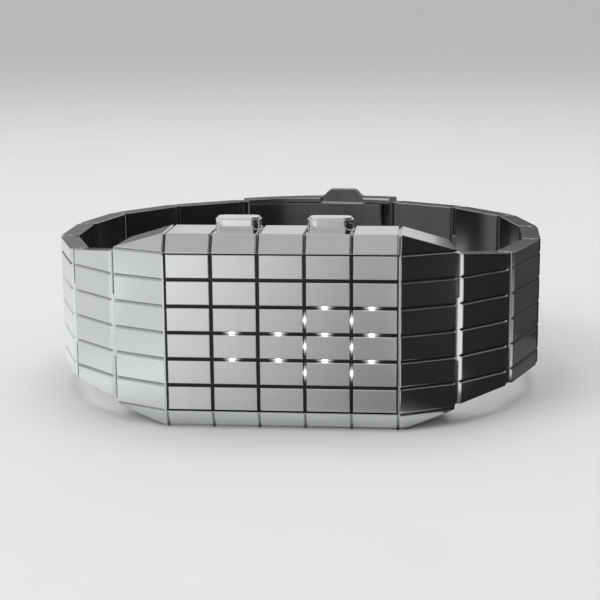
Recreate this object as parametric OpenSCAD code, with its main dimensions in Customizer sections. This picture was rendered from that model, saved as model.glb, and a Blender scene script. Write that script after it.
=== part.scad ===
// Bracelet watch with a tiled steel front. The time shows as points of light in the grooves
// between the tiles, two pushers stand on top of the case, and the bracelet closes with a
// folding clasp that two side buttons release.
// Every piece is drawn with y = 0 on the tiles' faces and z = 0 at mid height, and placed() then
// sets the watch on the ground with the centre of its footprint on the origin.

/* [Front] */
// Number of tile columns
tile_cols = 5; // [3:1:7]
// Number of tile rows
tile_rows = 6; // [4:1:8]
// Spacing of the tile columns
col_pitch = 6.05; // [5.2:0.05:7]
// Spacing of the tile rows
row_pitch = 3.5; // [3.3:0.1:4]
// Width of the open grooves between the tiles
tile_groove = 0.45; // [0.3:0.05:0.7]
// Thickness of a tile
tile_t = 0.8; // [0.5:0.05:1.2]
// Bevel along the edges of a tile's face
tile_bevel = 0.08; // [0.04:0.02:0.15]
// Gap between the tiles and the case at the sides
field_gap = 0.25; // [0.15:0.05:0.4]
// Gap between the tiles and the case above and below
frame_gap = 0.2; // [0.15:0.05:0.4]
// Thickness of the smoked window behind the tiles
window_t = 0.8; // [0.5:0.05:1.2]

/* [Case] */
// Height of the frame above and below the tile rows
frame_h = 2.4; // [2:0.1:3.5]
// How far the sloped top and bottom faces reach back from the front
slope_depth = 1.2; // [0.8:0.1:2]
// Width of each wing beside the tiles
wing_w = 7.1; // [6:0.1:10]
// Angle at which the wings lean back
wing_angle = 27; // [20:1:34]
// Depth of the case from the tiles to the case back
case_depth = 8.7; // [8.4:0.1:11]
// How far the wing ends reach behind the case back
lug_drop = 1.5; // [0.5:0.1:3]
// Width of the engraved grooves on the case and the links
line_w = 0.5; // [0.3:0.05:0.7]
// Depth of the engraved grooves
line_depth = 0.3; // [0.15:0.05:0.35]

/* [Pushers] */
// Length of a pusher's cap along the case
cap_w = 6; // [4:0.1:6.4]
// Width of a pusher's cap from front to back
cap_d = 3.2; // [2.8:0.1:3.3]
// Corner radius of a pusher's cap
cap_r = 1.2; // [0.6:0.1:1.3]
// How far a pusher stands above the case
cap_proud = 1.6; // [1:0.1:2.5]
// Travel of a pusher
push_travel = 0.8; // [0.4:0.1:0.8]

/* [Bracelet] */
// Distance between the hinges of the first link
first_pitch = 9.4; // [8:0.2:12]
// Distance between the hinges of the other links
link_pitch = 12.2; // [11:0.2:14]
// Thickness of a link
link_t = 2.6; // [2.4:0.1:3.2]
// Height of the bracelet at the case
band_h_case = 20.1; // [19:0.1:20.8]
// Height of the bracelet from the second link on
band_h = 18; // [17:0.1:19]
// Bevel down the ends of a link's outer face
end_bevel = 0.5; // [0.1:0.05:0.6]
// Radius of a link pin
pin_r = 0.4; // [0.3:0.02:0.42]

/* [Clasp] */
// Height of the clasp cover at its closing end
cover_h = 19; // [18.8:0.1:20.5]
// Height of the clasp cover at its folding end
cover_h_fold = 18.2; // [18:0.1:20]
// Half of the angle that the curved clasp spans
clasp_half_angle = 24; // [20:1:28]
// Thickness of the clasp cover's plate
cover_t = 0.9; // [0.6:0.1:1.4]
// Thickness of a folding blade
blade_t = 0.9; // [0.7:0.05:1]
// Width of the outer folding blade
outer_blade_w = 12; // [10:0.5:12.5]
// How far a release button stands out of the clasp
button_proud = 1.2; // [0.9:0.1:1.6]
// Width of a release button where it leaves the clasp
button_w = 7.2; // [5:0.2:7.4]
// Travel of a release button
button_travel = 0.6; // [0.3:0.1:0.7]

/* [Electronics] */
// Diameter of a coin cell
cell_d = 16; // [12:0.5:16]
// Thickness of a coin cell
cell_t = 1.6; // [1.2:0.1:1.6]
// Thickness of the light mask
mask_t = 0.85; // [0.6:0.05:1]
// Thickness of the circuit board
board_t = 0.8; // [0.6:0.05:1]
// Side of a light emitting diode
led_side = 0.5; // [0.3:0.05:0.6]

/* [Hidden] */
$fn = 48;

// Colours
STEEL = [0.74, 0.75, 0.76];
POLISHED = [0.85, 0.85, 0.86];
SMOKE = [0.08, 0.08, 0.09];
BLACK = [0.12, 0.12, 0.13];
BOARD_GREEN = [0.10, 0.30, 0.18];
LED_WHITE = [0.95, 0.95, 0.90];
NICKEL = [0.70, 0.68, 0.62];
SEAL_BLACK = [0.06, 0.06, 0.06];

// Clearances
slip = 0.1;      // a piece dropped into its pocket
run = 0.05;      // radial play of a bore on its pin
hold = 0.02;     // radial play of a pin fixed in its hole
swing = 0.08;    // radial play of a hinge knuckle in its socket
side_gap = 0.15; // play between neighbouring knuckles along their pin
past = 1;        // how far a cut runs past the faces that it goes through
far = 60;        // longer than the case in any direction

// Front and case outline
field_w = tile_cols * col_pitch / 2;
field_h = tile_rows * row_pitch / 2;
tiles_x = field_w - tile_groove / 2;
tiles_z = field_h - tile_groove / 2;
mouth_x = tiles_x + field_gap;
mouth_z = tiles_z + frame_gap;
mouth_land = [0.25, 0.15]; // flat rim beside the tiles, and above and below them
wing_x = mouth_x + mouth_land.x;
slope_z = mouth_z + mouth_land.y;
case_z = field_h + frame_h;
apex = [wing_x + wing_w, wing_w * tan(wing_angle)];
lug_inset = 1.1;
lug = [apex.x - lug_inset, case_depth + lug_drop];
slope_angle = atan2(case_z - slope_z, slope_depth);
column_lines = [for (i = [0 : tile_cols]) (i - tile_cols / 2) * col_pitch];
row_lines = [for (i = [0 : tile_rows]) (i - tile_rows / 2) * row_pitch];

// Inside of the case, from the front to the back
window_y = tile_t;
mask_y = window_y + window_t;
board_y = mask_y + mask_t;
holder_y = board_y + board_t;
board_in = [0.6, 0.4]; // how far the board's pocket stays inside the tile field
board_ledge = 1.1;     // width of the ledge that the board lies on
board_x = field_w - board_in.x;
board_z = field_h - board_in.y;
cavity_x = board_x - board_ledge;
cavity_z = board_z - board_ledge;
cavity_r = 3.2;
back_t = 1;
back_y = case_depth - back_t;
back_x = board_x;
back_z = board_z;
back_r = 1.2;
contact_t = 0.2;
contact_y = back_y - slip - contact_t;
cell_y = contact_y - 2 * cell_t;
gasket_in = 0.15;
gasket_w = 0.55;
gasket_t = 0.45;
screw_r = 0.4;
screw_head_r = 0.65;
screw_head_t = 0.45;
screw_len = 2.2;
screw_slot = 0.2;
screw_in = 1.1;
screw_at = [back_x - screw_in, back_z - screw_in];

// Pushers, one over the second column from each side
pusher_x = col_pitch;
pusher_land = 1.1; // between a pusher's pocket and the back edge of the case
pusher_y = case_depth - pusher_land - cap_d / 2;
cap_sink = 0.8;
recess_depth = 2.6;
recess_z = case_z - recess_depth;
cap_z = case_z - cap_sink;
stem_r = 0.55;
seal_wire = 0.25;
seal_r = stem_r + hold + seal_wire;
seal_pocket_r = seal_r + seal_wire + hold;
seal_pocket_t = 0.6;
stem_out = 0.8;   // how far the stem reaches into the cavity
clip_play = 0.2;
clip_t = 0.25;
clip_r = 1.1;
clip_neck = 0.15;
stem_end = cavity_z - stem_out;
clip_z = cavity_z - clip_play - clip_t;
pusher_coil_r = 1.4;
coil_wire_r = 0.12;
leaf_t = 0.15;
leaf_w = 2.4;
leaf_z = stem_end - push_travel - slip - leaf_t;

// Hinges of the bracelet, from the case round to the clasp
knuckle_r = 0.82;
socket_r = knuckle_r + swing;
tongue_h = 8.5;
ear_z = tongue_h / 2 + side_gap;
link_lip = 0.1;
case_lip = -0.3;
inner_cut = 0.9;
case_inner_cut = 1.4;
web = 0.4;
hinge_inset = [-0.2, 1.5];
bends = [18, 24, 19, 14.5, 24.5, 21];
links = len(bends);
function heading(i) = i == 0 ? wing_angle + bends[0] : heading(i - 1) + bends[i];
function pitch(i) = i == 0 ? first_pitch : link_pitch;
function hinge(i) = i == 0 ? apex + hinge_inset
    : hinge(i - 1) + pitch(i - 1) * [cos(heading(i - 1)), sin(heading(i - 1))];
bar_r = 0.45;
bar_tip_r = 0.28;
bar_tip_len = 1.2;
bar_len = tongue_h - 2 * slip;

// Clasp, on an arc through the last hinge on each side
end_hinge = hinge(links);
arc_r = end_hinge.x / sin(clasp_half_angle);
arc_y = end_hinge.y - arc_r * cos(clasp_half_angle);
function arc_angle(s) = s / arc_r * 180 / PI;
blade_gap = 0.3;
blade_sink = 0.2; // how far inside the last hinges the inner blade's outer face lies
inner_blade_r = arc_r - blade_sink - blade_t;
outer_blade_r = inner_blade_r + blade_t + blade_gap;
slider_r = outer_blade_r + blade_t + side_gap;
slider_t = 0.35;
slider_play = 0.2;
cover_r = slider_r + slider_t + slider_play;
cover_back = cover_r + cover_t;
wall_t = 0.9;
wall_in = 0.2;    // how far the cover's walls stay short of the inner blade's inner face
wall_r = inner_blade_r + wall_in;
wall_play = 0.2;
inner_blade_w = cover_h - 2 * (wall_t + wall_play);
end_gap = 1.2;
end_angle = clasp_half_angle - arc_angle(end_gap);
blade_angle = clasp_half_angle * 0.75;
blade_knuckle_r = 0.62;
blade_pin_r = 0.3;
blade_web = 0.5;  // half the width of the web behind a blade's ears
blade_ear = 2.55; // height of one of a blade's ears
blade_tongue = outer_blade_w - 2 * (blade_ear + side_gap);
blade_ear_z = blade_tongue / 2 + side_gap;
right_pivot_r = inner_blade_r + blade_t + blade_gap / 2;
left_pivot_r = cover_r - blade_knuckle_r - side_gap;
button_x = 3.95;  // from the middle of the clasp along its arc to the release buttons
button_angle = arc_angle(button_x);
grip_flare = 1.65; // how much narrower a button's grip gets on each side
button_inner_z = cover_h / 2 - wall_t - slip;
flange_t = 0.5;
flange_lip = 0.5; // how far the flange reaches past each side of the grip
flange_w = button_w + 2 * flange_lip;
button_r0 = inner_blade_r + blade_t + side_gap;
slider_w = 4;
slider_end_z = 1.2;
catch_w = 2;
catch_h = 1.4;
catch_z = 2.6;
catch_play = 0.3;
seat_z = outer_blade_w / 2 + blade_gap;
seat_t = 0.4;
button_coil_r = 0.5;
button_coil_x = 3;
button_coil_wire = 0.08;

depth = arc_y + cover_back;
coil_turns = 4;
coil_steps = 10;
wire_sides = 6;

// Sets a piece on the ground, with the footprint's centre on the origin
module placed() translate([0, -depth / 2, case_z]) children();

// Draws a piece on the right (side = 1) or its mirror image on the left (side = -1)
module on_side(side) mirror([side < 0 ? 1 : 0, 0, 0]) children();

// Draws children at the top and, mirrored, at the bottom
module top_and_bottom() {
    children();
    mirror([0, 0, 1]) children();
}

// Turns a profile drawn in depth and height into a bar along x
module along_x(length) rotate([90, 0, 90]) linear_extrude(length) children();

// Turns an outline drawn in x and height into a plate of thickness t that starts at depth y
module plate(y, t) translate([0, y + t, 0]) rotate([90, 0, 0]) linear_extrude(t) children();

module box_outline(x, z) square([2 * x, 2 * z], center = true);

module round_outline(x, z, r) {
    square([2 * x, 2 * (z - r)], center = true);
    square([2 * (x - r), 2 * z], center = true);
    for (i = [-1, 1], j = [-1, 1]) translate([i * (x - r), j * (z - r)]) circle(r);
}

// An engraved groove of triangular section along +x, cut down into the face at z = 0
module engraving(length) {
    half_w = line_w / 2 * (1 + past / line_depth);
    along_x(length) polygon([[-half_w, past], [0, -line_depth], [half_w, past]]);
}

// A helical spring from z = 0 to z = height
module coil(radius, wire_r, height) {
    steps = coil_turns * coil_steps;
    rise = height - 2 * wire_r;
    function ring(i) = let (a = 360 * i / coil_steps) [
        for (j = [0 : wire_sides - 1])
            let (b = 360 * j / wire_sides, r = radius + wire_r * cos(b))
                [r * cos(a), r * sin(a), wire_r + rise * i / steps + wire_r * sin(b)]
    ];
    side_faces = [
        for (i = [0 : steps - 1], j = [0 : wire_sides - 1])
            let (k = (j + 1) % wire_sides, p = i * wire_sides, q = p + wire_sides)
                each [[p + j, q + j, q + k], [p + j, q + k, p + k]]
    ];
    first_cap = [[for (j = [0 : wire_sides - 1]) j]];
    last_cap = [[for (j = [wire_sides - 1 : -1 : 0]) steps * wire_sides + j]];
    polyhedron([for (i = [0 : steps]) each ring(i)], concat(side_faces, first_cap, last_cap));
}

// Case

// Plan of the case: flat front, leaning wings and wing ends that reach behind the case back
module case_plan() {
    right = [[wing_x, 0], apex, lug, [wing_x + slip, case_depth]];
    left = [for (i = [3 : -1 : 0]) [-right[i].x, right[i].y]];
    polygon(concat(right, left));
}

// The case seen from the front, whose top and bottom fall towards the wing ends
module case_front() {
    polygon([
        [-apex.x, -slope_z], [-wing_x, -case_z], [wing_x, -case_z], [apex.x, -slope_z],
        [apex.x, slope_z], [wing_x, case_z], [-wing_x, case_z], [-apex.x, slope_z]
    ]);
}

// A long bar whose front has the sloped top and bottom faces, this deep at their back edge
module sloped_bar(slope) {
    translate([-far, 0, 0]) along_x(2 * far) polygon([
        [0, -slope_z], [0, slope_z], [slope, case_z],
        [far, case_z], [far, -case_z], [slope, -case_z]
    ]);
}

// The overlap of children laid along the right wing and along the left wing
module for_both_wings() {
    intersection() {
        translate([wing_x, 0, 0]) rotate([0, 0, wing_angle]) children();
        mirror([1, 0, 0]) translate([wing_x, 0, 0]) rotate([0, 0, wing_angle]) children();
    }
}

module case_envelope() {
    intersection() {
        translate([0, 0, -case_z]) linear_extrude(2 * case_z) case_plan();
        plate(-past, far) case_front();
        sloped_bar(slope_depth);
        for_both_wings() sloped_bar(slope_depth * cos(wing_angle));
    }
}

// Grooves that carry the lines of the tile grid on over the frame and the wings
module case_engraving() {
    for (x = column_lines) top_and_bottom() {
        translate([x, slope_depth - line_w, case_z]) rotate([0, 0, 90]) engraving(case_depth);
        translate([x, 0, slope_z]) rotate([slope_angle, 0, 0]) rotate([0, 0, 90])
            translate([-line_w, 0, 0]) engraving((case_z - slope_z) / sin(slope_angle) + line_w);
    }
    for (side = [-1, 1], z = row_lines) on_side(side)
        translate([wing_x, 0, z]) rotate([0, 0, wing_angle]) rotate([90, 0, 0])
            engraving(wing_w / cos(wing_angle) + past);
}

// Two ears of a hinge round the z axis, with a web back to the piece that carries them
module ears(height, reach) {
    top_and_bottom() translate([0, 0, ear_z]) linear_extrude(height / 2 - ear_z) {
        circle(knuckle_r);
        translate([-reach, -knuckle_r]) square([reach, 2 * knuckle_r]);
    }
}

// Middle knuckle of a hinge round the z axis, with a web on to the piece that carries it
module tongue(reach) {
    translate([0, 0, -tongue_h / 2]) linear_extrude(tongue_h) {
        circle(knuckle_r);
        translate([0, -knuckle_r]) square([reach, 2 * knuckle_r]);
    }
}

// Room for a neighbour's ears, open to the top and the bottom
module ear_room() {
    top_and_bottom() translate([0, 0, tongue_h / 2]) cylinder(r = socket_r, h = far);
}

// Room for a neighbour's tongue, and for the web that leaves it along +x
module tongue_room(web_room = 0) {
    cylinder(r = socket_r, h = 2 * ear_z, center = true);
    translate([0, -socket_r, -ear_z]) cube([web_room + slip, 2 * socket_r, 2 * ear_z]);
}

// Blind holes in both ears for the tips of a spring bar
module bar_tip_holes() {
    hole_len = 2 * (ear_z + bar_tip_len);
    cylinder(r = bar_tip_r + run, h = hole_len, center = true);
}

module pusher_opening() {
    translate([pusher_x, pusher_y, 0]) {
        translate([0, 0, recess_z]) linear_extrude(recess_depth + past)
            round_outline(cap_w / 2 + slip, cap_d / 2 + slip, cap_r + slip);
        translate([0, 0, recess_z - seal_pocket_t]) cylinder(r = seal_pocket_r, h = past);
        cylinder(r = stem_r + run, h = recess_z);
    }
}

module case_cavity() {
    plate(-past, mask_y + past) box_outline(mouth_x, mouth_z);
    plate(mask_y - slip, holder_y - mask_y + slip) box_outline(board_x, board_z);
    plate(holder_y - slip, back_y - holder_y + 2 * slip)
        round_outline(cavity_x, cavity_z, cavity_r);
    plate(back_y, back_t + past) round_outline(back_x, back_z, back_r);
    plate(back_y - gasket_t, gasket_t + slip) gasket_outline();
    for (i = [-1, 1], j = [-1, 1]) translate([i * screw_at.x, back_y + slip, j * screw_at.y])
        rotate([90, 0, 0]) cylinder(r = screw_r + hold, h = screw_len);
}

module gasket_outline() {
    difference() {
        round_outline(cavity_x + gasket_in + gasket_w, cavity_z + gasket_in + gasket_w,
            cavity_r + gasket_in + gasket_w);
        round_outline(cavity_x + gasket_in, cavity_z + gasket_in, cavity_r + gasket_in);
    }
}

module case_body() {
    color(STEEL) difference() {
        union() {
            difference() {
                case_envelope();
                case_engraving();
            }
            for (side = [-1, 1]) on_side(side) translate(hinge(0)) rotate([0, 0, wing_angle])
                ears(band_h_case, web);
        }
        case_cavity();
        for (side = [-1, 1]) on_side(side) {
            pusher_opening();
            translate(hinge(0)) rotate([0, 0, heading(0)]) {
                tongue_room(link_t);
                bar_tip_holes();
            }
        }
    }
}

// One plate that the bevelled grooves cut into separate tiles
module front_tiles() {
    half_groove = tile_groove / 2;
    groove_section = [
        [-past, half_groove + tile_bevel], [0, half_groove + tile_bevel],
        [tile_bevel, half_groove], [tile_t + past, half_groove],
        [tile_t + past, -half_groove], [tile_bevel, -half_groove],
        [0, -half_groove - tile_bevel], [-past, -half_groove - tile_bevel]
    ];
    color(STEEL) difference() {
        plate(0, tile_t) box_outline(field_w, field_h);
        for (z = row_lines) translate([-far, 0, z]) along_x(2 * far) polygon(groove_section);
        for (x = column_lines) translate([x, 0, far]) rotate([0, 90, 0])
            along_x(2 * far) polygon(groove_section);
    }
}

module smoked_window() {
    color(SMOKE) plate(window_y, window_t) box_outline(mouth_x - slip, mouth_z - slip);
}

led_offset = -0.45;

// Places children at every point of light: off each column's centre under the grooves between
// the rows, and at each row's middle under the grooves between the columns
module at_leds() {
    for (i = [0 : tile_cols - 1], j = [1 : tile_rows - 1])
        translate([column_lines[i] + col_pitch / 2 + led_offset, 0, row_lines[j]]) children();
    for (i = [1 : tile_cols - 1], j = [0 : tile_rows - 1])
        translate([column_lines[i], 0, row_lines[j] + row_pitch / 2]) children();
}

module light_mask() {
    hole_r = led_side * sqrt(2) / 2 + run;
    color(BLACK) difference() {
        plate(mask_y, mask_t) box_outline(board_x - slip, board_z - slip);
        at_leds() translate([0, mask_y - past, 0]) rotate([-90, 0, 0])
            cylinder(r = hole_r, h = mask_t + 2 * past);
    }
}

module led_board() {
    color(BOARD_GREEN) plate(board_y, board_t) box_outline(board_x - slip, board_z - slip);
}

led_t = 0.35;

module leds() {
    color(LED_WHITE) at_leds() translate([-led_side / 2, board_y - led_t, -led_side / 2])
        cube([led_side, led_t, led_side]);
}

chip_size = [2.6, 0.9, 2.6];
beside_cell = (cell_d / 2 + cavity_x) / 2; // halfway between the cells and the cavity's end
chip_z = -4.2;
chip_at = [-beside_cell, holder_y, chip_z];
crystal_r = 0.75;
crystal_len = 4;
crystal_at = [beside_cell, holder_y + crystal_r, chip_z];

module driver_chip() {
    color(BLACK) translate(chip_at - [chip_size.x / 2, 0, chip_size.z / 2]) cube(chip_size);
}

module crystal() {
    color(NICKEL) translate(crystal_at) cylinder(r = crystal_r, h = crystal_len, center = true);
}

module movement_holder() {
    holder_t = contact_y - holder_y;
    contact_room = leaf_w + 4 * slip;
    color(BLACK) difference() {
        plate(holder_y, holder_t)
            round_outline(cavity_x - slip, cavity_z - slip, cavity_r - slip);
        translate([0, cell_y, 0]) rotate([-90, 0, 0])
            cylinder(r = cell_d / 2 + slip, h = holder_t);
        for (side = [-1, 1]) on_side(side)
            translate([pusher_x - contact_room / 2, holder_y - past, leaf_z - 2 * slip])
                cube([contact_room, holder_t + 2 * past, far]);
        translate(chip_at - [chip_size.x / 2 + slip, past, chip_size.z / 2 + slip])
            cube(chip_size + [2 * slip, slip + past, 2 * slip]);
        translate(crystal_at - [crystal_r + slip, crystal_r + past, crystal_len / 2 + slip])
            cube([2 * (crystal_r + slip), 2 * crystal_r + slip + past, crystal_len + 2 * slip]);
    }
}

// A coin cell whose can has a rolled edge and a smaller cap on the front
module coin_cell() {
    cap_step = 0.25;
    edge = 0.3;
    color(NICKEL) rotate([-90, 0, 0]) rotate_extrude() polygon([
        [0, 0], [cell_d / 2 - 4 * edge, 0], [cell_d / 2 - 3 * edge, cap_step],
        [cell_d / 2 - edge, cap_step], [cell_d / 2, cap_step + edge],
        [cell_d / 2, cell_t - edge], [cell_d / 2 - edge, cell_t], [0, cell_t]
    ]);
}

module battery_front() translate([0, cell_y, 0]) coin_cell();
module battery_rear() translate([0, cell_y + cell_t, 0]) coin_cell();

strap_z = 1.6; // half the width of the strap
foot_z = 3;    // half the length of a foot
foot_w = 1.7;

// Spring strap across the rear cell, whose feet lie on the holder
module battery_contact() {
    strap_x = cell_d / 2 + slip + foot_w;
    color(NICKEL) plate(contact_y, contact_t) {
        box_outline(strap_x, strap_z);
        for (side = [-1, 1]) translate([side * (strap_x - foot_w / 2), 0])
            box_outline(foot_w / 2, foot_z);
    }
}

// A leaf below each pusher, standing on the back of the board
module switch_contacts() {
    leaf_len = pusher_y + stem_r - holder_y;
    color(NICKEL) for (side = [-1, 1])
        translate([side * pusher_x - leaf_w / 2, holder_y, leaf_z]) {
            cube([leaf_w, leaf_len, leaf_t]);
            translate([0, 0, leaf_t]) cube([leaf_w, leaf_t, cavity_z - leaf_z - 4 * slip]);
        }
}

module case_gasket() {
    color(SEAL_BLACK) plate(back_y - gasket_t, gasket_t) gasket_outline();
}

module at_screws() {
    for (i = [-1, 1], j = [-1, 1]) translate([i * screw_at.x, case_depth, j * screw_at.y])
        rotate([90, 0, 0]) children();
}

module case_back() {
    color(STEEL) difference() {
        plate(back_y, back_t) round_outline(back_x - slip, back_z - slip, back_r - slip);
        at_screws() {
            cylinder(r = screw_r + run, h = back_t + past);
            translate([0, 0, -past]) cylinder(r = screw_head_r + run, h = screw_head_t + past);
        }
    }
}

module case_back_screws() {
    color(POLISHED) at_screws() difference() {
        union() {
            cylinder(r = screw_head_r, h = screw_head_t);
            cylinder(r = screw_r, h = screw_len);
        }
        translate([-screw_head_r - slip, -screw_slot / 2, -slip])
            cube([2 * (screw_head_r + slip), screw_slot, screw_slot + slip]);
    }
}

// Pushers

module pusher() {
    cap_h = cap_sink + cap_proud;
    crown = 0.25;
    color(POLISHED) translate([pusher_x, pusher_y, 0]) {
        translate([0, 0, cap_z]) linear_extrude(cap_h - crown)
            round_outline(cap_w / 2, cap_d / 2, cap_r);
        translate([0, 0, cap_z + cap_h - crown]) linear_extrude(crown)
            round_outline(cap_w / 2 - crown, cap_d / 2 - crown, cap_r - crown);
        difference() {
            translate([0, 0, stem_end]) cylinder(r = stem_r, h = cap_z - stem_end);
            translate([0, 0, clip_z - hold]) difference() {
                cylinder(r = stem_r + past, h = clip_t + 2 * hold);
                translate([0, 0, -past]) cylinder(r = stem_r - clip_neck, h = 3 * past);
            }
        }
    }
}

module pusher_spring() {
    color(NICKEL) translate([pusher_x, pusher_y, recess_z])
        coil(pusher_coil_r, coil_wire_r, cap_z - recess_z);
}

// Split ring in the groove of the stem, open towards the case back
module pusher_clip() {
    mouth_w = 2 * (stem_r - clip_neck);
    color(NICKEL) translate([pusher_x, pusher_y, clip_z]) difference() {
        cylinder(r = clip_r, h = clip_t);
        translate([0, 0, -past]) cylinder(r = stem_r - clip_neck + hold, h = 3 * past);
        translate([-mouth_w / 2, 0, -past]) cube([mouth_w, 2 * clip_r, 3 * past]);
    }
}

module pusher_seals() {
    color(SEAL_BLACK) for (side = [-1, 1])
        translate([side * pusher_x, pusher_y, recess_z - seal_pocket_t / 2])
            rotate_extrude() translate([seal_r, 0]) circle(seal_wire, $fn = 24);
}

// Bracelet

// Places children at a hinge of the right half, with +x towards the next hinge
module at_hinge(i) translate(hinge(i)) rotate([0, 0, heading(i)]) children();

// Plan of a link: full length outside, cut back inside, with bevelled outer ends
module link_plan(length, lip, cut) {
    outer = -link_t / 2;
    polygon([
        [lip, outer + end_bevel], [lip + end_bevel, outer],
        [length - link_lip - end_bevel, outer], [length - link_lip, outer + end_bevel],
        [length - inner_cut, link_t / 2], [cut, link_t / 2]
    ]);
}

// A link from the hinge at the origin to the next hinge on +x, its outer face towards -y
module link(i) {
    length = pitch(i);
    near_h = i == 0 ? band_h_case : band_h;
    lip = i == 0 ? case_lip : link_lip;
    cut = i == 0 ? case_inner_cut : inner_cut;
    last = i == links - 1;
    far_room = socket_r + side_gap;
    color(STEEL) difference() {
        union() {
            difference() {
                intersection() {
                    translate([0, 0, -near_h / 2]) linear_extrude(near_h)
                        link_plan(length, lip, cut);
                    plate(-link_t, 2 * link_t) polygon([
                        [lip, near_h / 2], [length, band_h / 2],
                        [length, -band_h / 2], [lip, -near_h / 2]
                    ]);
                }
                ear_room();
                translate([length, 0, 0]) {
                    tongue_room();
                    if (last) translate([-far_room, -link_t, -ear_z])
                        cube([2 * far_room, 2 * link_t, 2 * ear_z]);
                }
            }
            tongue(cut + web);
            translate([length, 0, 0]) ears(band_h, inner_cut + web);
        }
        cylinder(r = (i == 0 ? bar_r : pin_r) + run, h = tongue_h + past, center = true);
        translate([length, 0, 0]) {
            if (last) bar_tip_holes();
            else cylinder(r = pin_r + hold, h = far, center = true);
        }
        for (k = [1 : tile_rows - 1])
            translate([lip - past, -link_t / 2, row_lines[k]]) rotate([90, 0, 0])
                engraving(length - lip + 2 * past);
    }
}

module bracelet_link(side, number) on_side(side) at_hinge(number - 1) link(number - 1);

// Pin in the ears of one link, through the tongue of the next
module link_pin(side, number) {
    recess = 0.15;
    color(POLISHED) on_side(side) translate(hinge(number))
        cylinder(r = pin_r, h = band_h - 2 * recess, center = true);
}

// Spring bar in a tongue, with its tips out in the ears or drawn in flush
module spring_bar(tips_out) {
    color(POLISHED) {
        cylinder(r = bar_r, h = bar_len, center = true);
        if (tips_out)
            cylinder(r = bar_tip_r, h = 2 * (ear_z + bar_tip_len - slip), center = true);
    }
}

// Clasp

// Places children on the clasp's arc, +x along the arc to the right and +y outwards
module at_arc(angle, radius) {
    translate([0, arc_y, 0]) rotate([0, 0, -angle]) translate([0, radius, 0]) children();
}

// A curved plate between two angles of the arc, from a section drawn in radius and height
module arc_bar(from_angle, to_angle) {
    translate([0, arc_y, 0]) rotate([0, 0, 90 - to_angle])
        rotate_extrude(angle = to_angle - from_angle, $fn = 180) children();
}

module arc_section(radius, thickness, height) {
    translate([radius, -height / 2]) square([thickness, height]);
}

// Ears or tongue of a blade hinge, with a web that runs from the pin to a blade
module blade_ears(web_x, web_y) {
    top_and_bottom() translate([0, 0, blade_ear_z])
        blade_knuckle(outer_blade_w / 2 - blade_ear_z, web_x, web_y);
}

module blade_knuckle(height, web_x, web_y) {
    linear_extrude(height) {
        circle(blade_knuckle_r);
        translate([web_x[0], web_y[0]]) square([web_x[1] - web_x[0], web_y[1] - web_y[0]]);
    }
}

// Folded steel channel that closes over the blades
module clasp_cover() {
    edge = 0.3;
    half_h = cover_h / 2;
    left_web = cover_r - left_pivot_r + side_gap;
    color(STEEL) difference() {
        union() {
            intersection() {
                arc_bar(-end_angle, end_angle) polygon([
                    [wall_r, half_h - wall_t], [wall_r, half_h - edge], [wall_r + edge, half_h],
                    [cover_back - edge, half_h], [cover_back, half_h - edge],
                    [cover_back, -half_h + edge], [cover_back - edge, -half_h],
                    [wall_r + edge, -half_h], [wall_r, -half_h + edge],
                    [wall_r, -half_h + wall_t], [cover_r, -half_h + wall_t],
                    [cover_r, half_h - wall_t]
                ]);
                plate(0, 2 * far) polygon([
                    [-end_hinge.x, cover_h_fold / 2], [end_hinge.x, half_h],
                    [end_hinge.x, -half_h], [-end_hinge.x, -cover_h_fold / 2]
                ]);
            }
            at_arc(clasp_half_angle, arc_r) mirror([1, 0, 0]) {
                tongue(end_gap + web);
                translate([end_gap - web, 0, -tongue_h / 2])
                    cube([2 * web, cover_r - arc_r + side_gap, tongue_h]);
            }
            at_arc(-blade_angle, left_pivot_r) blade_ears([-blade_web, blade_web], [0, left_web]);
            at_arc(button_angle, 0) for (side = [-1, 1], part = [-1, 1])
                translate([part * button_coil_x - button_coil_r - slip,
                        outer_blade_r, side * (seat_z + seat_t / 2) - seat_t / 2])
                    cube([2 * (button_coil_r + slip), cover_r - outer_blade_r + side_gap, seat_t]);
        }
        at_arc(clasp_half_angle, arc_r) cylinder(r = bar_r + run, h = far, center = true);
        at_arc(-blade_angle, left_pivot_r) cylinder(r = blade_pin_r + hold, h = far, center = true);
        at_arc(button_angle, 0) top_and_bottom()
            translate([-button_w / 2 - slip, 0, half_h - wall_t - slip])
                cube([button_w + 2 * slip, slider_r + slider_t + slip, far]);
    }
}

// Curved blade under the cover, hinged to the inner blade on the right and to the cover on
// the left, with a window for the catches
module clasp_outer_blade() {
    half_t = blade_t / 2;
    mid_r = outer_blade_r + half_t;
    room = blade_knuckle_r + side_gap;
    window_x = catch_w / 2 + 2 * catch_play;
    window_z = catch_z + catch_h / 2 + 2 * catch_play;
    color(STEEL) difference() {
        union() {
            difference() {
                arc_bar(-blade_angle, blade_angle)
                    arc_section(outer_blade_r, blade_t, outer_blade_w);
                for (end = [[-blade_angle, left_pivot_r], [blade_angle, right_pivot_r]])
                    at_arc(end[0], end[1]) top_and_bottom()
                        translate([-room, -room, blade_tongue / 2]) cube([2 * room, 2 * room, far]);
            }
            at_arc(blade_angle, right_pivot_r) translate([0, 0, -blade_tongue / 2])
                blade_knuckle(blade_tongue, [-room, 0], [outer_blade_r - right_pivot_r, blade_knuckle_r]);
            at_arc(-blade_angle, left_pivot_r) translate([0, 0, -blade_tongue / 2])
                blade_knuckle(blade_tongue, [0, room], [-blade_knuckle_r, 0]);
        }
        at_arc(blade_angle, right_pivot_r) cylinder(r = blade_pin_r + run, h = far, center = true);
        at_arc(-blade_angle, left_pivot_r) cylinder(r = blade_pin_r + run, h = far, center = true);
        at_arc(button_angle, mid_r) cube([2 * window_x, 2 * blade_t, 2 * window_z], center = true);
    }
}

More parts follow.
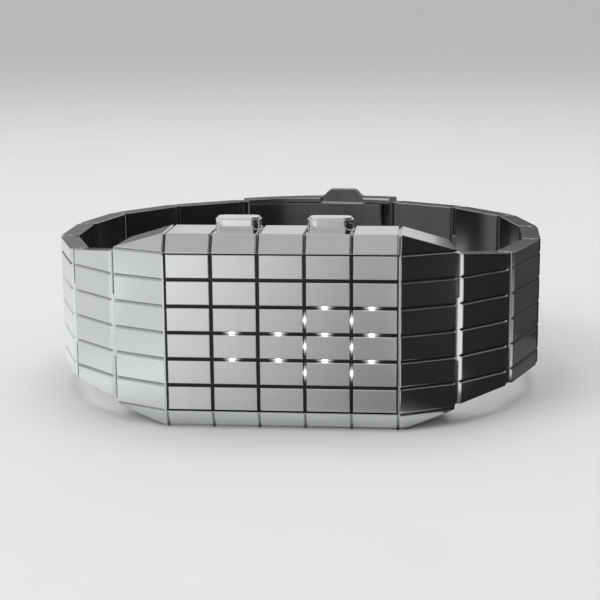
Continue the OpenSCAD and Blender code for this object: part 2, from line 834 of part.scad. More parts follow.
// Curved blade against the wrist, hinged to the last link on the left
module clasp_inner_blade() {
    room = blade_knuckle_r + side_gap;
    blade_end = arc_angle(blade_knuckle_r);
    color(STEEL) difference() {
        union() {
            difference() {
                arc_bar(-end_angle, blade_angle + blade_end)
                    arc_section(inner_blade_r, blade_t, inner_blade_w);
                at_arc(blade_angle, right_pivot_r) translate([-room, -room, -blade_ear_z])
                    cube([2 * room, 2 * room, 2 * blade_ear_z]);
            }
            at_arc(-clasp_half_angle, arc_r) translate([0, 0, -tongue_h / 2])
                linear_extrude(tongue_h) {
                    circle(knuckle_r);
                    translate([0, -knuckle_r]) square([end_gap + web, 2 * web]);
                }
            at_arc(blade_angle, right_pivot_r) blade_ears([-blade_web, blade_web], [-blade_knuckle_r, 0]);
            at_arc(button_angle, 0) for (side = [-1, 1])
                translate([-catch_w / 2, inner_blade_r + blade_t - side_gap,
                        side * catch_z - catch_h / 2])
                    cube([catch_w, slider_r + slider_t - inner_blade_r - blade_t + side_gap,
                        catch_h]);
        }
        at_arc(-clasp_half_angle, arc_r) cylinder(r = bar_r + run, h = far, center = true);
        at_arc(blade_angle, right_pivot_r) cylinder(r = blade_pin_r + hold, h = far, center = true);
    }
}

module blade_pin(angle, radius) {
    color(POLISHED) at_arc(angle, radius)
        cylinder(r = blade_pin_r, h = outer_blade_w - 2 * slip, center = true);
}

// Release button: a rounded grip outside, a flange that the cover's wall holds in, and a
// flat slider whose window goes round the catch
module clasp_button() {
    steps = 8;
    top_w = button_w - 2 * grip_flare;
    outer_z = cover_h / 2;
    tab_t = slider_r + slider_t - button_r0;
    window_x = catch_w / 2 + catch_play;
    window_top = catch_z + catch_h / 2 + catch_play + button_travel;
    window_foot = catch_z - catch_h / 2 - catch_play;
    flare = [
        for (i = [0 : steps])
            let (t = i / steps)
                [button_w / 2 - (button_w - top_w) / 2 * t,
                    outer_z + button_proud * (1 - cos(180 * t)) / 2]
    ];
    grip = concat(
        [[button_w / 2, button_inner_z - slip]], flare,
        [for (i = [steps : -1 : 0]) [-flare[i].x, flare[i].y]],
        [[-button_w / 2, button_inner_z - slip]]
    );
    color(POLISHED) at_arc(button_angle, 0) {
        plate(button_r0, tab_t) polygon(grip);
        translate([-flange_w / 2, button_r0, button_inner_z - flange_t])
            cube([flange_w, tab_t - side_gap, flange_t]);
        difference() {
            translate([-slider_w / 2, slider_r, slider_end_z])
                cube([slider_w, slider_t, button_inner_z - slider_end_z]);
            translate([-window_x, slider_r - past, window_foot])
                cube([2 * window_x, slider_t + 2 * past, window_top - window_foot]);
        }
    }
}

module button_spring() {
    foot = seat_z + seat_t;
    color(NICKEL) at_arc(button_angle, (outer_blade_r + cover_r) / 2)
        translate([button_coil_x, 0, foot])
            coil(button_coil_r, button_coil_wire, button_inner_z - flange_t - foot);
}

placed() {
    case_body();
    front_tiles();
    smoked_window();
    light_mask();
    led_board();
    leds();
    driver_chip();
    crystal();
    movement_holder();
    battery_front();
    battery_rear();
    battery_contact();
    switch_contacts();
    case_gasket();
    case_back();
    case_back_screws();
    pusher_seals();
    for (s = [["left", -1], ["right", 1]]) {
        on_side(s[1]) pusher();
        on_side(s[1]) pusher_spring();
        on_side(s[1]) pusher_clip();
        for (n = [1 : links])
            bracelet_link(s[1], n);
        for (n = [1 : links - 1])
            link_pin(s[1], n);
        on_side(s[1]) translate(hinge(0)) spring_bar(true);
        on_side(s[1]) translate(end_hinge) spring_bar(s[1] < 0);
    }
    clasp_cover();
    clasp_outer_blade();
    clasp_inner_blade();
    blade_pin(blade_angle, right_pivot_r);  // blade_pin_right
    blade_pin(-blade_angle, left_pivot_r);  // blade_pin_left
    clasp_button();  // clasp_button_top
    mirror([0, 0, 1]) clasp_button();  // clasp_button_bottom
    button_spring();  // button_spring_top
    mirror([0, 0, 1]) button_spring();  // button_spring_bottom
}
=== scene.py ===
import math

import bmesh
import bpy
from mathutils import Matrix, Vector


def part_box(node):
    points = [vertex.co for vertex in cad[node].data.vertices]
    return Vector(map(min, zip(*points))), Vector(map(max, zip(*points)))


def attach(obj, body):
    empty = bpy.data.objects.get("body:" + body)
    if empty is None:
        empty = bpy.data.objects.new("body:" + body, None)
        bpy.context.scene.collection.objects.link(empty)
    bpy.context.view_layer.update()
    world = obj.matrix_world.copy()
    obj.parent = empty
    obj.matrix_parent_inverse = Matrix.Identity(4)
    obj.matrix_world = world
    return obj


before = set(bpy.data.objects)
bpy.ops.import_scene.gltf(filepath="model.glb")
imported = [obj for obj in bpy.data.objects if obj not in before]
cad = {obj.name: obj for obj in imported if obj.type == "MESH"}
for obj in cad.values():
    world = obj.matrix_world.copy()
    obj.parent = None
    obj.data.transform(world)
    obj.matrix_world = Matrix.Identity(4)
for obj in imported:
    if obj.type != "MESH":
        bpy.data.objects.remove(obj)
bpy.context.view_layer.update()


# Case body. Milled from one block of stainless steel and brushed along its length. The edges
# are painted lighter than the faces, as a highlight. The engraved grooves keep their sharp
# flanks, and their bottoms and the column lines over the top are painted dark, as shade.
def dress(material, *names):
    """Puts a material on CAD nodes."""
    for name in names:
        for slot in cad[name].material_slots:
            slot.material = material


def new_material(name):
    material = bpy.data.materials.new(name)
    material.use_nodes = True
    nodes = material.node_tree.nodes
    return material, nodes, material.node_tree.links, nodes["Principled BSDF"]


def feed(links, value, socket):
    """Gives a socket a number or a colour, or links another node's output to it."""
    if isinstance(value, bpy.types.NodeSocket):
        links.new(value, socket)
    else:
        socket.default_value = (*value, 1.0) if isinstance(value, tuple) else value


def grain(nodes, links, per_metre, detail=4.0):
    """Noise with so many features per metre, given as one number or one for each axis."""
    where = nodes.new("ShaderNodeTexCoord")
    stretch = nodes.new("ShaderNodeMapping")
    scale = per_metre if isinstance(per_metre, tuple) else (per_metre, per_metre, per_metre)
    stretch.inputs["Scale"].default_value = scale
    noise = nodes.new("ShaderNodeTexNoise")
    noise.inputs["Scale"].default_value = 1.0
    noise.inputs["Detail"].default_value = detail
    links.new(where.outputs["Object"], stretch.inputs["Vector"])
    links.new(stretch.outputs["Vector"], noise.inputs["Vector"])
    return noise.outputs["Fac"]


def spread(nodes, links, value, low, high, start=0.3, end=0.7):
    """Turns values from start to end into low to high. Most noise lies between 0.3 and 0.7."""
    ranged = nodes.new("ShaderNodeMapRange")
    ranged.inputs["From Min"].default_value = start
    ranged.inputs["From Max"].default_value = end
    ranged.inputs["To Min"].default_value = low
    ranged.inputs["To Max"].default_value = high
    links.new(value, ranged.inputs["Value"])
    return ranged.outputs["Result"]


def two_tones(nodes, links, amount, first, second):
    """Mixes two colours, each a plain one or what another node gives."""
    mix = nodes.new("ShaderNodeMix")
    mix.data_type = "RGBA"
    feed(links, first, mix.inputs["A"])
    feed(links, second, mix.inputs["B"])
    links.new(amount, mix.inputs["Factor"])
    return mix.outputs["Result"]


def relief(nodes, links, height, strength, depth, surface=None):
    """The normal of fine relief, up to so many metres deep, on a flat or a rounded surface."""
    bump = nodes.new("ShaderNodeBump")
    bump.inputs["Strength"].default_value = strength
    bump.inputs["Distance"].default_value = depth
    links.new(height, bump.inputs["Height"])
    if surface is not None:
        links.new(surface, bump.inputs["Normal"])
    return bump.outputs["Normal"]


edge_samples = 6
# How far an edge's normal turns where its painted highlight is full and where it ends.
highlight_full_at, highlight_none_at = 0.75, 0.995
# Reach and strength of the shade painted into grooves and corners, found by ambient occlusion.
crevice_depth, crevice_shade_most = 0.0003, 0.85
crevice_foot, crevice_rim = 0.42, 0.60


def rounded_edges(nodes, width):
    """The normal of edges that are rounded off to this width."""
    bevel = nodes.new("ShaderNodeBevel")
    bevel.samples = edge_samples
    bevel.inputs["Radius"].default_value = width
    return bevel.outputs["Normal"]


def painted_edge_highlight(nodes, links, rounded):
    """How far the rounding turns a point away from its flat face, where its colour is painted
    lighter as a highlight.
    """
    flat = nodes.new("ShaderNodeNewGeometry")
    dot = nodes.new("ShaderNodeVectorMath")
    dot.operation = "DOT_PRODUCT"
    links.new(rounded, dot.inputs[0])
    links.new(flat.outputs["True Normal"], dot.inputs[1])
    return spread(nodes, links, dot.outputs["Value"], 1.0, 0.0, highlight_full_at, highlight_none_at)


def painted_crevice_shade(nodes, links):
    """How deep a point lies in a groove or a corner, where shade is painted into the colour."""
    hollow = nodes.new("ShaderNodeAmbientOcclusion")
    hollow.samples = edge_samples
    hollow.only_local = True
    hollow.inputs["Distance"].default_value = crevice_depth
    return spread(nodes, links, hollow.outputs["AO"], crevice_shade_most, 0.0, crevice_foot, crevice_rim)


# Colour of the painted highlight on rounded edges.
edge_highlight_colour = (0.93, 0.93, 0.94)
# Colour of the painted shade in grooves, corners and seams.
painted_shade_colour = (0.035, 0.036, 0.038)
clouds_per_metre = 90
brush_strength, brush_depth = 0.05, 0.000003
along_case = (300, 300, 9000)


def satin_steel(name, dark, light, smooth, rough, lines=along_case, edge=0.00006, seams=None):
    """Steel brushed in fine lines, with its edges rounded off and painted lighter as a highlight,
    and shade painted into its grooves.
    """
    material, nodes, links, shader = new_material(name)
    brushed = grain(nodes, links, lines)
    cloudy = grain(nodes, links, clouds_per_metre, detail=3.0)
    rounded = rounded_edges(nodes, edge)

    colour = two_tones(nodes, links, spread(nodes, links, cloudy, 0.0, 1.0), dark, light)
    # Painted highlight: the rounded edges take a lighter colour.
    colour = two_tones(nodes, links, painted_edge_highlight(nodes, links, rounded), colour, edge_highlight_colour)
    # Painted shade: crevices and the top seams take a near-black colour.
    for dark_parts in (painted_crevice_shade, seams):
        if dark_parts:
            colour = two_tones(nodes, links, dark_parts(nodes, links), colour, painted_shade_colour)
    links.new(colour, shader.inputs["Base Color"])

    links.new(spread(nodes, links, brushed, smooth, rough), shader.inputs["Roughness"])
    links.new(relief(nodes, links, brushed, brush_strength, brush_depth, rounded),
              shader.inputs["Normal"])
    shader.inputs["Metallic"].default_value = 1.0
    return material


def place_on(nodes, links, axis, space="Object"):
    """How far along an axis a point lies."""
    where = nodes.new("ShaderNodeTexCoord")
    split = nodes.new("ShaderNodeSeparateXYZ")
    links.new(where.outputs[space], split.inputs["Vector"])
    return split.outputs[axis]


def maths(nodes, links, operation, *values):
    """One step of sums, on numbers or what other nodes give."""
    step = nodes.new("ShaderNodeMath")
    step.operation = operation
    for value, socket in zip(values, step.inputs):
        feed(links, value, socket)
    return step.outputs["Value"]


col_pitch, row_pitch = 0.00605, 0.0035
seam_half_w, seam_foot = 0.00006, 0.0235
seam_shift = 0.0001
left_seam = -0.0152
seam_lines = [left_seam] + [(n - 0.5) * col_pitch - seam_shift for n in (-1, 0, 1, 2)]


def painted_seam_shade(nodes, links):
    """The column lines where they run over the top slope and the top face, painted dark as the
    shade in their grooves.
    """
    x = place_on(nodes, links, "X")
    on_a_line = 0.0
    for line_x in seam_lines:
        near = maths(nodes, links, "COMPARE", x, line_x, seam_half_w)
        on_a_line = maths(nodes, links, "MAXIMUM", on_a_line, near)
    above = maths(nodes, links, "GREATER_THAN", place_on(nodes, links, "Z"), seam_foot)
    return maths(nodes, links, "MULTIPLY", on_a_line, above)


satin_dark, satin_light = (0.73, 0.74, 0.745), (0.76, 0.765, 0.77)
satin_smooth, satin_rough = 0.12, 0.15
# The case's colour carries painted shade along the column lines over its top.
case_steel = satin_steel("case_steel", satin_dark, satin_light, satin_smooth, satin_rough,
                         edge=0.00015, seams=painted_seam_shade)
dress(case_steel, "case_body")


# Front tiles. Thirty separate steel plates bonded on the smoked window, with a fine bevel round
# each face. They are brushed along the case and shine a little softer than it does.
tile_steel = satin_steel("tile_steel", (0.83, 0.835, 0.84), (0.86, 0.865, 0.87),
                         smooth=0.18, rough=0.22, edge=0.00004)
dress(tile_steel, "front_tiles")


# Smoked window. A flat pane of dark tinted mineral glass under the tiles. It looks black until
# a light behind it is on.
smoke_dark, smoke_light = (0.010, 0.010, 0.012), (0.022, 0.022, 0.026)
smoke_per_metre = 500


def smoked_glass():
    material, nodes, links, shader = new_material("smoked_glass")
    haze = grain(nodes, links, smoke_per_metre)
    links.new(two_tones(nodes, links, haze, smoke_dark, smoke_light), shader.inputs["Base Color"])
    links.new(spread(nodes, links, haze, low=0.06, high=0.14), shader.inputs["Roughness"])
    shader.inputs["Transmission Weight"].default_value = 0.35
    shader.inputs["IOR"].default_value = 1.5
    return material


dress(smoked_glass(), "smoked_window")


# Points of light. Where a diode is on, its beam lights a small spot on the window's face in the
# groove between two tiles, and fades along that groove. Ten are lit in the level grooves, at
# (column, line), and six in the upright ones, at (line, row).
lit_in_rows = [(4, 4), (5, 4)] + [(column, line) for line in (3, 2) for column in (2, 3, 4, 5)]
lit_in_columns = [(line, row) for line in (3, 4) for row in (3, 2, 1)]
middle_column, middle_line = 3, 2.5
field_foot = 0.0024
row_spot_left, row_spot_down = 0.00045, 0.00004
groove_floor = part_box("smoked_window")[0].y


def lit_places():
    """Middle of each lit point and whether its groove runs along a row."""
    for column, line in lit_in_rows:
        x = (column - middle_column) * col_pitch - row_spot_left
        yield x, field_foot + line * row_pitch - row_spot_down, True
    for line, row in lit_in_columns:
        x = (line - middle_line) * col_pitch
        yield x, field_foot + (row + 0.5) * row_pitch, False


def add_object(name, data):
    piece = bpy.data.objects.new(name, data)
    bpy.context.scene.collection.objects.link(piece)
    return piece


def add_mesh(name, mesh):
    """Makes an object of a finished bmesh."""
    data = bpy.data.meshes.new(name)
    mesh.to_mesh(data)
    mesh.free()
    return add_object(name, data)


spot_half_len, spot_half_w, spot_rise = 0.00042, 0.00011, 0.00005


def lit_spots():
    """A flat bead of light at each lit point, half above the window's face."""
    mesh = bmesh.new()
    for x, z, along_row in lit_places():
        half_x, half_z = (spot_half_len, spot_half_w) if along_row else (spot_half_w, spot_half_len)
        flatten = Matrix.Diagonal((half_x, spot_rise, half_z, 1))
        place = Matrix.Translation((x, groove_floor, z)) @ flatten
        bmesh.ops.create_icosphere(mesh, subdivisions=3, radius=1.0, matrix=place)
    spots = add_mesh("lit_spots", mesh)
    spots.data.shade_smooth()
    return spots


spot_brightness = 4.0
spot_cool, spot_white = (0.90, 0.93, 1.0), (1.0, 1.0, 1.0)


def glowing_lens():
    material, nodes, links, shader = new_material("glowing_lens")
    core = grain(nodes, links, per_metre=4000, detail=2.0)
    links.new(two_tones(nodes, links, core, spot_cool, spot_white), shader.inputs["Emission Color"])
    shader.inputs["Base Color"].default_value = (0.9, 0.92, 0.95, 1.0)
    shader.inputs["Emission Strength"].default_value = spot_brightness
    shader.inputs["Roughness"].default_value = 0.2
    return material


streak_half_len, streak_half_w, streak_rise = 0.0015, 0.0002, 0.00002
streak_taper, streak_steps = 0.6, 24
fade_power = 2.0


def streaks():
    """Light that spreads along the groove from each point and fades towards its ends."""
    mesh = bmesh.new()
    glow = mesh.verts.layers.float.new("glow")
    for x, z, along_row in lit_places():
        rails = []
        for i in range(streak_steps + 1):
            t = 2.0 * i / streak_steps - 1.0
            pair = []
            for edge in (-1.0, 1.0):
                along = t * streak_half_len
                across = edge * streak_half_w * (1.0 - streak_taper * abs(t))
                dx, dz = (along, across) if along_row else (across, along)
                point = mesh.verts.new((x + dx, groove_floor - streak_rise, z + dz))
                point[glow] = (1.0 - abs(t)) ** fade_power
                pair.append(point)
            rails.append(pair)
        for (a, b), (c, d) in zip(rails, rails[1:]):
            mesh.faces.new((a, c, d, b))
    mesh.normal_update()
    for face in mesh.faces:
        if face.normal.y > 0:
            face.normal_flip()
    return add_mesh("light_streaks", mesh)


streak_brightness = 1.4
unlit, streak_white = (0.0, 0.0, 0.0), (0.95, 0.98, 1.0)


def fading_light():
    material, nodes, links, shader = new_material("fading_light")
    reach = nodes.new("ShaderNodeAttribute")
    reach.attribute_name = "glow"
    links.new(two_tones(nodes, links, reach.outputs["Fac"], unlit, streak_white),
              shader.inputs["Emission Color"])
    shader.inputs["Emission Strength"].default_value = streak_brightness
    haze = grain(nodes, links, smoke_per_metre)
    links.new(two_tones(nodes, links, haze, smoke_dark, smoke_light), shader.inputs["Base Color"])
    shader.inputs["Roughness"].default_value = 0.12
    return material


spots = lit_spots()
spots.data.materials.append(glowing_lens())
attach(spots, "case")
light_streaks = streaks()
light_streaks.data.materials.append(fading_light())
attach(light_streaks, "case")


# Light mask, board and the parts on it. The mask is moulded in black plastic with a hole for
# each diode. The board is green glass fibre, with the diodes on its front and the driver chip
# on its back.
def moulded_plastic(name, dark, light, smooth, rough):
    material, nodes, links, shader = new_material(name)
    pits = grain(nodes, links, per_metre=6000)
    broad = grain(nodes, links, per_metre=200, detail=2.0)
    links.new(two_tones(nodes, links, broad, dark, light), shader.inputs["Base Color"])
    links.new(spread(nodes, links, pits, smooth, rough), shader.inputs["Roughness"])
    links.new(relief(nodes, links, pits, strength=0.25, depth=0.00002), shader.inputs["Normal"])
    return material


board_tones = {"Color1": (0.02, 0.14, 0.07), "Color2": (0.03, 0.17, 0.09),
               "Mortar": (0.06, 0.30, 0.14)}
tracks_per_metre, track_width = 420.0, 0.05


def circuit_board():
    """Green board with copper tracks under its lacquer, which run along the board's face."""
    material, nodes, links, shader = new_material("circuit_board")
    tracks = nodes.new("ShaderNodeTexBrick")
    tracks.inputs["Scale"].default_value = tracks_per_metre
    tracks.inputs["Mortar Size"].default_value = track_width
    for socket, tone in board_tones.items():
        feed(links, tone, tracks.inputs[socket])
    where = nodes.new("ShaderNodeTexCoord")
    turned = nodes.new("ShaderNodeMapping")
    turned.inputs["Rotation"].default_value = (math.radians(90), 0, 0)
    links.new(where.outputs["Object"], turned.inputs["Vector"])
    links.new(turned.outputs["Vector"], tracks.inputs["Vector"])
    links.new(tracks.outputs["Color"], shader.inputs["Base Color"])
    lacquer = grain(nodes, links, per_metre=2000)
    links.new(spread(nodes, links, lacquer, low=0.25, high=0.4), shader.inputs["Roughness"])
    links.new(relief(nodes, links, tracks.outputs["Fac"], strength=0.3, depth=0.00003),
              shader.inputs["Normal"])
    return material


def clear_lens():
    material, nodes, links, shader = new_material("diode_lens")
    cloud = grain(nodes, links, per_metre=3000)
    links.new(two_tones(nodes, links, cloud, (0.80, 0.79, 0.70), (0.92, 0.92, 0.86)),
              shader.inputs["Base Color"])
    links.new(spread(nodes, links, cloud, low=0.12, high=0.22), shader.inputs["Roughness"])
    return material


black_plastic = moulded_plastic("black_plastic", (0.022, 0.022, 0.024), (0.035, 0.035, 0.038),
                                smooth=0.5, rough=0.68)
dress(black_plastic, "light_mask", "driver_chip")
dress(circuit_board(), "led_board")
dress(clear_lens(), "leds")


# Holder, cells, crystal and contacts. The holder is moulded in black plastic, the two coin cells
# lie in it one behind the other, and a nickel plated strap presses on them. The quartz crystal
# has a can like the cells.
def plated(name, dark, light, smooth, rough, lines):
    material, nodes, links, shader = new_material(name)
    rolled = grain(nodes, links, lines)
    rounded = rounded_edges(nodes, width=0.00005)
    links.new(two_tones(nodes, links, rolled, dark, light), shader.inputs["Base Color"])
    links.new(spread(nodes, links, rolled, smooth, rough), shader.inputs["Roughness"])
    links.new(relief(nodes, links, rolled, strength=0.15, depth=0.000005, surface=rounded),
              shader.inputs["Normal"])
    shader.inputs["Metallic"].default_value = 1.0
    return material


dress(black_plastic, "movement_holder")
cell_can = plated("cell_can", (0.60, 0.59, 0.56), (0.70, 0.69, 0.66),
                  smooth=0.22, rough=0.34, lines=2500)
dress(cell_can, "battery_front", "battery_rear", "crystal")
nickel = plated("nickel_strip", (0.64, 0.61, 0.54), (0.74, 0.71, 0.64),
                smooth=0.18, rough=0.32, lines=(400, 400, 7000))
dress(nickel, "battery_contact", "switch_contacts")


# Case back. A steel plate with a grained face, held by four slotted screws on a rubber gasket.
# The pushers' seals are of the same rubber.
back_steel = satin_steel("back_steel", (0.68, 0.685, 0.69), (0.77, 0.775, 0.78),
                         smooth=0.26, rough=0.38, lines=(250, 250, 7000))
dress(back_steel, "case_back")


def soft_rubber():
    material, nodes, links, shader = new_material("seal_rubber")
    bloom = grain(nodes, links, per_metre=1500)
    links.new(two_tones(nodes, links, bloom, (0.012, 0.012, 0.012), (0.028, 0.028, 0.028)),
              shader.inputs["Base Color"])
    links.new(spread(nodes, links, bloom, low=0.6, high=0.8), shader.inputs["Roughness"])
    return material


dress(soft_rubber(), "case_gasket", "pusher_seals")


def polished_steel(name, smooth, rough, edge):
    """Polished steel with fine scratches along the case's depth."""
    material, nodes, links, shader = new_material(name)
    scratches = grain(nodes, links, per_metre=(6000, 500, 6000), detail=5.0)
    links.new(two_tones(nodes, links, scratches, (0.82, 0.82, 0.83), (0.88, 0.88, 0.89)),
              shader.inputs["Base Color"])
    links.new(spread(nodes, links, scratches, smooth, rough), shader.inputs["Roughness"])
    links.new(rounded_edges(nodes, edge), shader.inputs["Normal"])
    shader.inputs["Metallic"].default_value = 1.0
    return material


screw_steel = polished_steel("screw_steel", smooth=0.10, rough=0.2, edge=0.00005)
dress(screw_steel, "case_back_screws")


# Pushers. Two polished steel caps on stems that go through the case wall. Each stands on a coil
# spring, and a split ring holds its stem inside.
pusher_steel = polished_steel("pusher_steel", smooth=0.05, rough=0.12, edge=0.00012)
dress(pusher_steel, "pusher_left", "pusher_right")
dress(nickel, "pusher_spring_left", "pusher_spring_right", "pusher_clip_left", "pusher_clip_right")


# Bracelet. Twelve solid links of the case's steel, brushed along the bracelet, that turn on
# polished pins and on two spring bars at the case. Two more spring bars hold the clasp.
link_steel = satin_steel("link_steel", satin_dark, satin_light, satin_smooth, satin_rough,
                         edge=0.00018)
sides = ("left", "right")
dress(link_steel, *[f"link_{side}_{n}" for side in sides for n in range(1, 7)])
dress(screw_steel, *[f"link_pin_{side}_{n}" for side in sides for n in range(1, 6)])
dress(screw_steel, *[f"{end}_bar_{side}" for end in ("case", "clasp") for side in sides])


# Clasp. A folded steel cover over two curved blades, with a polished release button in each of
# its long walls. A small coil spring pushes each button out.
clasp_steel = satin_steel("clasp_steel", (0.68, 0.685, 0.69), (0.72, 0.725, 0.73),
                          smooth=0.19, rough=0.24)
blade_steel = satin_steel("blade_steel", (0.60, 0.605, 0.61), (0.67, 0.675, 0.68),
                          smooth=0.17, rough=0.23)
dress(clasp_steel, "clasp_cover")
dress(blade_steel, "clasp_outer_blade", "clasp_inner_blade")
dress(screw_steel, "blade_pin_left", "blade_pin_right")
button_steel = polished_steel("button_steel", smooth=0.08, rough=0.18, edge=0.0001)
dress(button_steel, "clasp_button_top", "clasp_button_bottom")
dress(nickel, "button_spring_top", "button_spring_bottom")


# Floor. A plain table top in matt pale paint, so large that its edge is never in view. It is
# no part of the watch.
def stage_piece(name, corners, faces, material):
    data = bpy.data.meshes.new(name)
    data.from_pydata(corners, [], faces)
    data.materials.append(material)
    piece = add_object(name, data)
    return piece


def square(half):
    return [(-half, -half), (half, -half), (half, half), (-half, half)]


def matt(shader, roughness):
    shader.inputs["Roughness"].default_value = roughness
    shader.inputs["Specular IOR Level"].default_value = 0.0


floor_half = 6.0
floor_paint, nodes, links, shader = new_material("floor_paint")
clouds = grain(nodes, links, per_metre=40)
links.new(two_tones(nodes, links, clouds, (0.76, 0.76, 0.77), (0.80, 0.80, 0.80)),
          shader.inputs["Base Color"])
matt(shader, roughness=0.8)
stage_piece("floor", [(x, y, 0) for x, y in square(floor_half)], [[0, 1, 2, 3]], floor_paint)


# Reflecting cards on the floor. Only reflections show them. A large one fades from pale on the
# left to black on the right, a black one fills the bracelet, and narrow strips brighten the
# bevels at the ends of the case and the links, and the slope at the case's foot.
def reflecting_card(name, corners, faces, paint):
    card = stage_piece(name, corners, faces, paint)
    card.visible_camera = False
    card.visible_diffuse = False
    card.visible_transmission = False
    card.visible_shadow = False


def flat_card(name, outline, height, paint):
    reflecting_card(name, [(x, y, height) for x, y in outline], [list(range(len(outline)))], paint)


cool_tinge = 1.01


def graded_paint(name, *stops):
    """Matt paint whose brightness follows stops along x, each given as (x, grey)."""
    material, nodes, links, shader = new_material(name)
    first, last = stops[0][0], stops[-1][0]
    ramp = nodes.new("ShaderNodeValToRGB")
    links.new(spread(nodes, links, place_on(nodes, links, "X"), 0.0, 1.0, first, last),
              ramp.inputs["Fac"])
    marks = ramp.color_ramp.elements
    while len(marks) < len(stops):
        marks.new(1.0)
    for mark, (x, grey) in zip(marks, stops):
        mark.position = (x - first) / (last - first)
        mark.color = (grey, grey * cool_tinge, grey * cool_tinge, 1.0)
    links.new(ramp.outputs["Color"], shader.inputs["Base Color"])
    matt(shader, roughness=0.9)
    return material


card_half = 0.5
card_height, strip_height = 0.0002, 0.0004
fading_card = graded_paint("fading_card", (-0.08, 0.71), (-0.062, 0.76), (-0.041, 0.92),
                           (0.0285, 0.022))
flat_card("card_floor", square(card_half), card_height, fading_card)

inside = [(-0.021, -0.0255), (0.021, -0.0255), (0.029, -0.014), (0.031, 0.0), (0.027, 0.014),
          (0.012, 0.027), (-0.012, 0.027), (-0.027, 0.014), (-0.031, 0.0), (-0.029, -0.014)]
flat_card("card_inside", inside, strip_height,
          graded_paint("black_card", (-0.03, 0.01), (0.03, 0.03)))

white_strip = graded_paint("white_strip", (-0.1, 0.96), (0.1, 0.94))
pale_strip = graded_paint("pale_strip", (-0.1, 0.84), (0.1, 0.78))
grey_strip = graded_paint("grey_strip", (0.03, 0.13), (0.06, 0.09))
for name, outline, paint in (
        ("strip_front_right",
         [(0.0165, -0.046), (0.0175, -0.200), (0.095, -0.155), (0.0245, -0.045)], white_strip),
        ("strip_second_right",
         [(0.116, -0.088), (0.129, -0.074), (0.046, -0.0300), (0.043, -0.0335)], white_strip),
        ("strip_second_foot",
         [(0.036, -0.014), (0.054, -0.010), (0.060, 0.014), (0.046, 0.012)], grey_strip),
        ("strip_second_left",
         [(-0.132, -0.070), (-0.127, -0.080), (-0.043, -0.0335), (-0.045, -0.0295)], white_strip),
        ("strip_foot",
         [(-0.022, -0.041), (0.022, -0.041), (0.022, -0.031), (-0.022, -0.031)], pale_strip)):
    flat_card(name, outline, strip_height, paint)


# Reflecting cards on edge. A tall dark one stands on the right and a low grey one behind the
# watch, which goes on round its left end above the floor. Inside the left half of the bracelet a
# black one faces the left wall, and a grey one behind it faces the right wall.
def upright_card(name, plan, paint, foot=0.0):
    """A card that stands along points given as (x, y, top)."""
    n = len(plan)
    corners = [(x, y, foot) for x, y, top in plan] + list(plan)
    reflecting_card(name, corners, [[i, i + 1, n + i + 1, n + i] for i in range(n - 1)], paint)


right_top = 0.17
right_plan = [(0.20, 0.16), (0.17, 0.02), (0.14, -0.07), (0.09, -0.15), (0.05, -0.20)]
upright_card("card_right", [(x, y, right_top) for x, y in right_plan],
             graded_paint("right_card", (0.0, 0.016), (0.2, 0.02)))

behind_paint = graded_paint("behind_card", (-0.06, 0.40), (-0.02, 0.24), (0.02, 0.16),
                            (0.036, 0.16), (0.052, 0.08))
top_right, top_middle, top_left = 0.041, 0.034, 0.038
upright_card("card_behind",
             [(0.062, 0.0, top_right), (0.055, 0.032, top_right), (0.034, 0.051, top_right),
              (0.027, 0.055, top_middle), (0.0, 0.060, top_middle), (-0.027, 0.055, top_middle),
              (-0.034, 0.051, top_left), (-0.045, 0.041, top_left)], behind_paint)
upright_card("card_behind_left", [(-0.045, 0.041, top_left), (-0.070, 0.0, top_left)], behind_paint,
             foot=0.024)

loop_top = 0.0215
loop_plan = [(-0.021, -0.022), (-0.026, -0.012), (-0.0265, 0.0), (-0.021, 0.013), (-0.011, 0.021),
             (-0.004, 0.023)]
grey_aside, grey_forward = 0.0008, 0.0004
upright_card("card_loop_black", [(x, y, loop_top) for x, y in loop_plan],
             graded_paint("loop_black", (-0.03, 0.012), (-0.02, 0.028), (0.0, 0.04)))
upright_card("card_loop_grey", [(x + grey_aside, y - grey_forward, loop_top) for x, y in loop_plan],
             graded_paint("loop_grey", (-0.03, 0.18), (0.0, 0.26)))


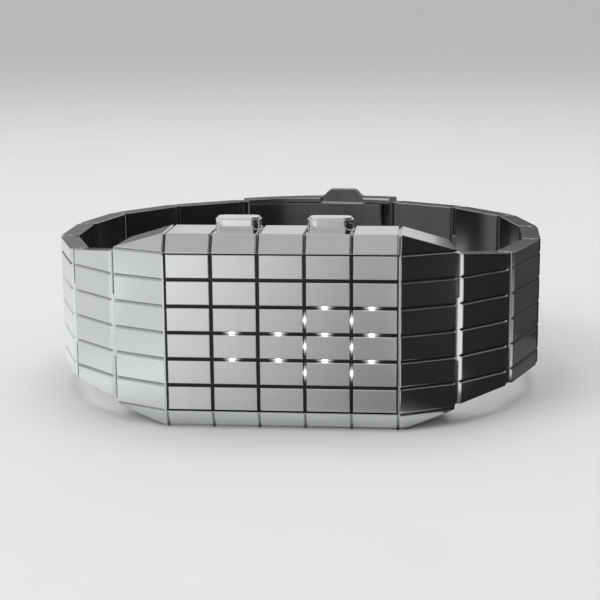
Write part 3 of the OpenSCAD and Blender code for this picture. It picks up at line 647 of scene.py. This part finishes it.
# Studio. A pale room that is darker in front and low down, a broad soft lamp on the left and
# another above. The steel mirrors the room and the cards, and not the lamps.
front_tone, back_tone = (0.68, 0.69, 0.70), (0.96, 0.965, 0.97)
fade_front, fade_back = -0.8, 0.9
skirting = (0.634, 0.637, 0.642)
skirting_top, wall_foot = 0.03, 0.10
room_light = 0.75

world = bpy.data.worlds.new("pale_room")
world.use_nodes = True
nodes, links = world.node_tree.nodes, world.node_tree.links
back = spread(nodes, links, place_on(nodes, links, "Y", "Generated"), 0.0, 1.0,
              fade_front, fade_back)
high = spread(nodes, links, place_on(nodes, links, "Z", "Generated"), 0.0, 1.0,
              skirting_top, wall_foot)
wall = two_tones(nodes, links, back, front_tone, back_tone)
room = two_tones(nodes, links, high, skirting, wall)
links.new(room, nodes["Background"].inputs["Color"])
nodes["Background"].inputs["Strength"].default_value = room_light
bpy.context.scene.world = world


def soft_lamp(name, place, aim, side, watts):
    lamp = bpy.data.lights.new(name, "AREA")
    lamp.shape = "RECTANGLE"
    lamp.size, lamp.size_y = side, side
    lamp.energy = watts
    holder = add_object(name, lamp)
    holder.location = place
    holder.rotation_euler = (Vector(aim) - Vector(place)).to_track_quat("-Z", "Y").to_euler()
    holder.visible_camera = False
    holder.visible_glossy = False


soft_lamp("lamp_left", place=(-0.60, -0.50, 0.60), aim=(0, 0, 0.01), side=0.6, watts=2.6)
soft_lamp("lamp_top", place=(0.0, 0.12, 0.70), aim=(0, 0.1, 0.0), side=0.5, watts=1.6)


# Camera. It stands in front of the right half of the case and a little above it. It turns to the
# left and looks down on the watch, as the photograph does.
camera_place = (0.01865, -0.20991, 0.05319)
turned_left, looks_down, leans = 5.261, 11.466, 0.4
camera_data = bpy.data.cameras.new("camera")
camera_data.lens = 84.25
camera_data.sensor_width = 36.0
camera_data.clip_start = 0.01
camera = add_object("camera", camera_data)
camera.matrix_world = (Matrix.Translation(camera_place)
                       @ Matrix.Rotation(math.radians(turned_left), 4, "Z")
                       @ Matrix.Rotation(math.radians(90 - looks_down), 4, "X")
                       @ Matrix.Rotation(math.radians(-leans), 4, "Z"))
bpy.context.scene.camera = camera
bpy.context.scene.view_settings.view_transform = "Standard"
